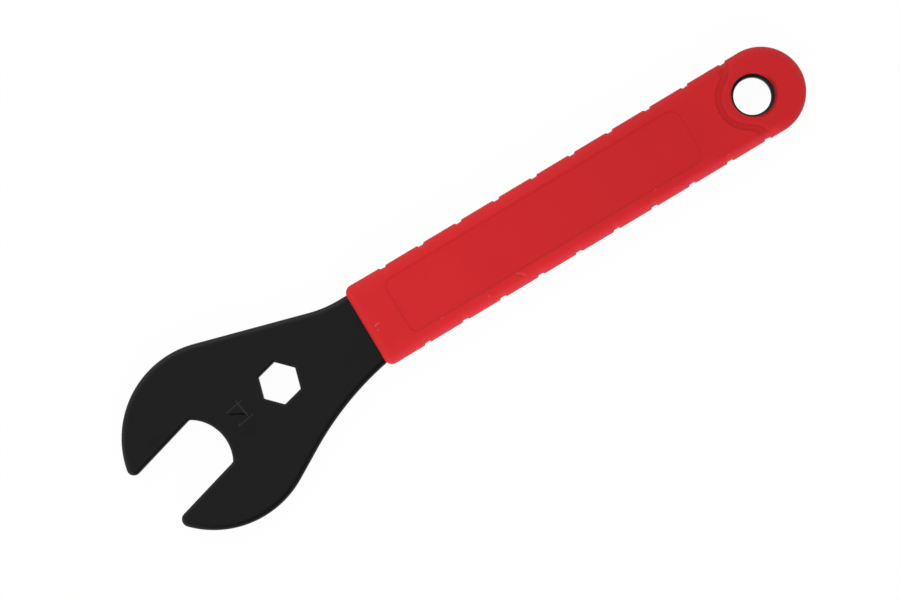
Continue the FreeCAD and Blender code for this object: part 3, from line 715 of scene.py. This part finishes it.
def make_grip(finish):
    """The grip: a rounded rim with notches, flat faces with the panel and the band, a hole."""
    stations = grip_course()
    rim = [[rim_point(station, QUARTER * number / SIDE_STEPS) for station in stations]
           for number in range(SIDE_STEPS + 1)]
    rim.append([face_point(spot - outward * (rounding + FLAT_MARGIN))
                for spot, outward, rounding in stations])
    distances = [GRIP_HOLE_EDGE * (1 - math.cos(QUARTER * number / HOLE_STEPS))
                 for number in range(HOLE_STEPS + 1)]
    distances.append(GRIP_HOLE_EDGE + FLAT_MARGIN)
    hole = [[face_point(spot) for spot in hole_ring(distance)] for distance in distances]
    loose = [*BAND.spots(), *panel_spots()]
    for distance in GRIP_HOLE_RINGS:
        loose += hole_ring(distance)
    flat_side = GRIP_SIDE - (SIDE_ROUNDING + 2 * FLAT_MARGIN)
    extra = [face_point(spot) for spot in loose if from_middle(spot) < flat_side]
    groups = [rim[0], hole[0], *rim[1:], *hole[1:], extra]

    skin = Skin()
    front, back = ([skin.ring([(*place, side * height) for place, height, _ in group])
                    for group in groups] for side in (1, -1))
    front_corners = [corner for row in front for corner in row]
    back_corners = [corner for row in back for corner in row]
    plan = [known for group in groups for _, _, known in group]
    for trio in ground(plan, groups[:2]):
        skin.faces.append(tuple(front_corners[corner] for corner in trio))
        skin.faces.append(tuple(back_corners[corner] for corner in trio[::-1]))
    skin.strip(back[0], front[0])
    skin.strip(front[1], back[1])
    # The corners carry painted light and shade, and a painted sheen.
    return skin.build("red_grip", finish, tone=grip_tone, rub=grip_rub)


class Number:
    """A number that changes over a surface. Sums written with it add Math nodes."""

    def __init__(self, paint, socket):
        self.paint = paint
        self.socket = socket

    def with_other(self, kind, first, second):
        return self.paint.node("ShaderNodeMath", {"operation": kind}, {0: first, 1: second})

    def __add__(self, other):
        return self.with_other("ADD", self, other)

    def __radd__(self, other):
        return self.with_other("ADD", other, self)

    def __sub__(self, other):
        return self.with_other("SUBTRACT", self, other)

    def __rsub__(self, other):
        return self.with_other("SUBTRACT", other, self)

    def __mul__(self, other):
        return self.with_other("MULTIPLY", self, other)

    def __rmul__(self, other):
        return self.with_other("MULTIPLY", other, self)


class Paint:
    """One material or world, with its nodes."""

    def __init__(self, owner):
        owner.use_nodes = True
        self.owner = owner
        self.tree = owner.node_tree
        self.tree.nodes.clear()

    def node(self, kind, settings=None, sockets=None, output=0):
        """Add a node: its settings first, then the values or links of its sockets."""
        made = self.tree.nodes.new(kind)
        for name, value in (settings or {}).items():
            setattr(made, name, value)
        for key, value in (sockets or {}).items():
            if isinstance(value, Number):
                self.tree.links.new(value.socket, made.inputs[key])
            else:
                made.inputs[key].default_value = value
        return Number(self, made.outputs[output]) if made.outputs else None

    def blend(self, share, first, second):
        """Mix two colours by a share."""
        return self.node("ShaderNodeMix", {"data_type": "RGBA"}, {0: share, 6: first, 7: second}, 2)

    def span(self, value, low, high):
        """A soft step from 0 at low to 1 at high."""
        return self.node("ShaderNodeMapRange", {"interpolation_type": "SMOOTHSTEP"},
                         {0: value, 1: low, 2: high})

    def place(self):
        """The place on the piece, in metres."""
        return self.node("ShaderNodeTexCoord", output="Object")

    def carried(self, name):
        """A shade that the piece's corners carry."""
        return self.node("ShaderNodeAttribute", {"attribute_name": name}, output="Fac")

    def grain(self, size, detail=2.0):
        """Noise with lumps of about a size in millimetres."""
        return self.node("ShaderNodeTexNoise", None, {"Vector": self.place(), "Detail": detail,
                                                      "Scale": 1.0 / (size * MM)})

    def spots(self, places, height):
        """Small round spots on a broad face, each a place and a radius in millimetres."""
        place, shares = self.place(), 0.0
        for x, y, radius in places:
            middle = Vector((x, y, height)) * MM
            gap = self.node("ShaderNodeVectorMath", {"operation": "DISTANCE"},
                            {0: place, 1: middle}, "Value")
            shares = self.span(gap, radius * MM, 0.0) + shares
        return shares

    def gloss(self, shade, rough, specular, grit, depth):
        """The piece's own shader, with a bump that runs over a depth in millimetres."""
        bump = self.node("ShaderNodeBump", None, {"Strength": 1.0, "Distance": depth * MM,
                                                  "Height": grit})
        return self.node("ShaderNodeBsdfPrincipled", None, {
            "Base Color": shade, "Roughness": rough, "Specular IOR Level": specular,
            "Normal": bump})

    def finish(self, shader, end="ShaderNodeOutputMaterial"):
        """Close the material or world with its shader and return it."""
        self.node(end, None, {"Surface": shader})
        return self.owner


def black_steel():
    """Black oxide on steel: satin, with a very fine grain and faint cloudy patches."""
    paint = Paint(bpy.data.materials.new("black_oxide"))
    cloud = paint.grain(14, detail=3)
    shade = paint.blend(cloud, STEEL_DARK, STEEL_LIGHT)
    # A painted highlight pales the stamped number.
    shade = paint.blend(paint.carried("dust"), shade, STEEL_STAMP_HIGHLIGHT)
    shade = paint.blend(paint.spots(SMUDGES, BLADE_HALF) * cloud, shade, STEEL_SMUDGE)
    return paint.finish(paint.gloss(shade, rough=0.36 + 0.06 * cloud, specular=0.215,
                                    grit=paint.grain(0.35), depth=0.004))


def red_vinyl():
    """Moulded red grip: satin, with the fine texture of its mould and a few pale specks."""
    paint = Paint(bpy.data.materials.new("red_vinyl"))
    cloud = paint.grain(9, detail=3)
    along = paint.node("ShaderNodeSeparateXYZ", None, {0: paint.place()}, "X")
    shade = paint.blend(paint.span(along, *RED_FADE), paint.blend(cloud, *MOUTH_REDS),
                        paint.blend(cloud, *END_REDS))
    # The painted light and shade that the corners carry scale the red.
    shade = paint.node("ShaderNodeVectorMath", {"operation": "SCALE"},
                       {0: shade, "Scale": paint.carried("tone")})
    # A painted sheen pales the lower side unevenly.
    rub = paint.carried("rub") * (0.52 + 0.22 * paint.grain(3, detail=5))
    shade = paint.blend(rub, shade, RED_SHEEN)
    shade = paint.blend(paint.spots(SPECKS, GRIP_HALF), shade, RED_SPECK)
    return paint.finish(paint.gloss(shade, rough=0.5, specular=0.09, grit=paint.grain(0.45),
                                    depth=0.010))


def white_paper():
    """The floor: white paper that still takes the shadow."""
    paint = Paint(bpy.data.materials.new("white_paper"))
    direct, mirrored, through = (paint.node("ShaderNodeLightPath", output=f"Is {way} Ray")
                                 for way in ("Camera", "Glossy", "Transmission"))
    seen = paint.node("ShaderNodeMath", {"operation": "MINIMUM"},
                      {0: direct + mirrored + through, 1: 1.0})
    paper = paint.node("ShaderNodeBsdfDiffuse", None, {"Color": PAPER})
    glow = paint.node("ShaderNodeEmission", None, {"Color": WHITE, "Strength": 1.0})
    return paint.finish(paint.node("ShaderNodeMixShader", None,
                                   {0: seen * PAPER_GLOW, 1: paper, 2: glow}))


def make_floor():
    mesh = bpy.data.meshes.new("floor")
    corners = [(x * FLOOR_REACH, y * FLOOR_REACH, FLOOR_LEVEL)
               for x, y in ((-1, -1), (1, -1), (1, 1), (-1, 1))]
    mesh.from_pydata(corners, [], [(0, 1, 2, 3)])
    mesh.materials.append(white_paper())
    put("floor", mesh)


def make_world():
    """A white tent, brightest towards the top of the picture and dark behind the camera."""
    world = bpy.data.worlds.new("studio")
    bpy.context.scene.world = world
    paint = Paint(world)
    way = paint.node("ShaderNodeTexCoord", output="Generated")
    height = paint.node("ShaderNodeSeparateXYZ", None, {0: way}, "Z")

    def toward(angle):
        return paint.node("ShaderNodeVectorMath", {"operation": "DOT_PRODUCT"},
                          {0: way, 1: ray(math.radians(angle)).to_3d()}, "Value")

    top, side = toward(TENT_TOP_ANGLE), toward(TENT_SIDE_ANGLE)
    sky = TENT_BEHIND + paint.span(top, *TENT_FRONT_STEP) * (TENT_FRONT - TENT_BEHIND)
    sky = sky + paint.span(top, *TENT_TOP_STEP) * TENT_TOP_LIFT
    sky = sky + paint.span(side * side, *TENT_SIDES_STEP) * (TENT_SIDES - sky)
    sky = sky + (1 - paint.span(height, *TENT_LOW_STEP)) * (TENT_LOW - sky)
    glow = paint.node("ShaderNodeBackground", None, {"Color": WHITE, "Strength": sky})
    paint.finish(glow, "ShaderNodeOutputWorld")


def make_lamp(name, spot, size, power):
    """A rectangular lamp in metres and watts, turned to the wrench."""
    data = bpy.data.lights.new(name, "AREA")
    data.shape = "RECTANGLE"
    data.size, data.size_y = size
    data.energy = power
    lamp = put(name, data)
    lamp.location = spot
    lamp.rotation_mode = "QUATERNION"
    lamp.rotation_quaternion = (LAMP_AIM - Vector(spot)).to_track_quat("-Z", "Y")
    return lamp


def make_camera():
    """High above the handle, tilted a little, with the handle rising to the right."""
    data = bpy.data.cameras.new("camera")
    data.sensor_width = CAMERA_SENSOR
    data.lens = CAMERA_LENS
    camera = put("camera", data)
    bpy.context.scene.camera = camera
    back = (CAMERA_PLACE - CAMERA_AIM).normalized()
    handle = (Vector((1, 0, 0)) - back * back.x).normalized()
    right = Matrix.Rotation(CAMERA_ROLL, 3, back) @ handle
    turn = Matrix((right, back.cross(right), back)).transposed()
    camera.matrix_world = Matrix.Translation(CAMERA_PLACE) @ turn.to_4x4()


blade = make_blade(black_steel())
grip = make_grip(red_vinyl())
for piece, node, slot in ((blade, "blade", "black_steel"), (grip, "grip", "red_grip")):
    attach(piece, "root")
    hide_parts(node)
make_floor()
make_world()
make_lamp("window", spot=(-0.15, 0.8, 0.7), size=(0.8, 0.5), power=1.3)
fill = make_lamp("fill", spot=(-0.35, -1.1, 0.5), size=(1.2, 0.4), power=9.1)
fill.visible_glossy = False
make_camera()
bpy.context.scene.view_settings.view_transform = "Standard"
